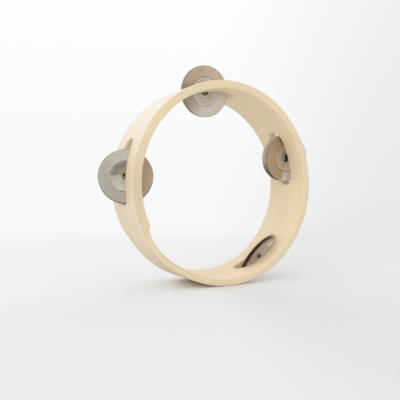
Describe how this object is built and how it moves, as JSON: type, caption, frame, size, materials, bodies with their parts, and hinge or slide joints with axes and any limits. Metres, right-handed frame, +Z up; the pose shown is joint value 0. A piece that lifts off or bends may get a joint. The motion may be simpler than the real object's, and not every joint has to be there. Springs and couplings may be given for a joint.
{
  "type": "headless tambourine",
  "caption": "Small headless wooden tambourine: a bent laminated hoop with slots, each holding a pair of loose pressed steel jingles on a nail.",
  "frame": {"origin": "on the floor below the middle of the part's box, with the hoop standing on its rim's edge", "axes": "+Z up; Y along the hoop's axis, with the front rim towards -Y; +X to the right seen from the front"},
  "size_m": [0.1768, 0.044, 0.1642],
  "materials": {
    "outer_ply": "bare sanded",
    "core_ply": "bare sanded",
    "inner_ply": "bare sanded",
    "jingle_steel": "nickel-plated",
    "nail_steel": "plain drawn"
  },
  "bodies": {
    "hoop": {"hoop_outer_ply": "outer_ply", "hoop_core_ply": "core_ply", "hoop_inner_ply": "inner_ply", "left_pin": "nail_steel", "top_pin": "nail_steel", "right_pin": "nail_steel", "lower_pin": "nail_steel"},
    "left_rear_jingle": {"left_rear_jingle": "jingle_steel"},
    "left_front_jingle": {"left_front_jingle": "jingle_steel"},
    "top_rear_jingle": {"top_rear_jingle": "jingle_steel"},
    "top_front_jingle": {"top_front_jingle": "jingle_steel"},
    "right_rear_jingle": {"right_rear_jingle": "jingle_steel"},
    "right_front_jingle": {"right_front_jingle": "jingle_steel"},
    "lower_rear_jingle": {"lower_rear_jingle": "jingle_steel"},
    "lower_front_jingle": {"lower_front_jingle": "jingle_steel"}
  },
  "joints": [
    {"name": "left_pair_spin", "type": "hinge", "parent": "hoop", "child": "left_rear_jingle", "pos_m": [-0.06971, 0.00168, 0.07947], "axis": [0.352, 0.9209, -0.1676], "continuous": true},
    {"name": "left_pair_clash", "type": "slide", "parent": "left_rear_jingle", "child": "left_front_jingle", "axis": [0.352, 0.9209, -0.1676], "range_m": [-0.000249, 0]},
    {"name": "top_pair_spin", "type": "hinge", "parent": "hoop", "child": "top_rear_jingle", "pos_m": [-0.00662, 0.00216, 0.14502], "axis": [0.0111, 0.9947, 0.1021], "continuous": true},
    {"name": "top_pair_clash", "type": "slide", "parent": "top_rear_jingle", "child": "top_front_jingle", "axis": [0.0111, 0.9947, 0.1021], "range_m": [-0.00279, 0.00038]},
    {"name": "right_pair_spin", "type": "hinge", "parent": "hoop", "child": "right_rear_jingle", "pos_m": [0.06917, 0.00231, 0.09732], "axis": [0.0934, 0.9886, 0.1179], "continuous": true},
    {"name": "right_pair_clash", "type": "slide", "parent": "right_rear_jingle", "child": "right_front_jingle", "axis": [0.0934, 0.9886, 0.1179], "range_m": [-0.00037, 0.004]},
    {"name": "lower_pair_spin", "type": "hinge", "parent": "hoop", "child": "lower_rear_jingle", "pos_m": [0.04322, 0.00079, 0.01707], "axis": [-0.4016, 0.7222, 0.5632], "continuous": true},
    {"name": "lower_pair_clash", "type": "slide", "parent": "lower_rear_jingle", "child": "lower_front_jingle", "axis": [-0.4016, 0.7222, 0.5632], "range_m": [-0.00024, 0]}
  ]
}
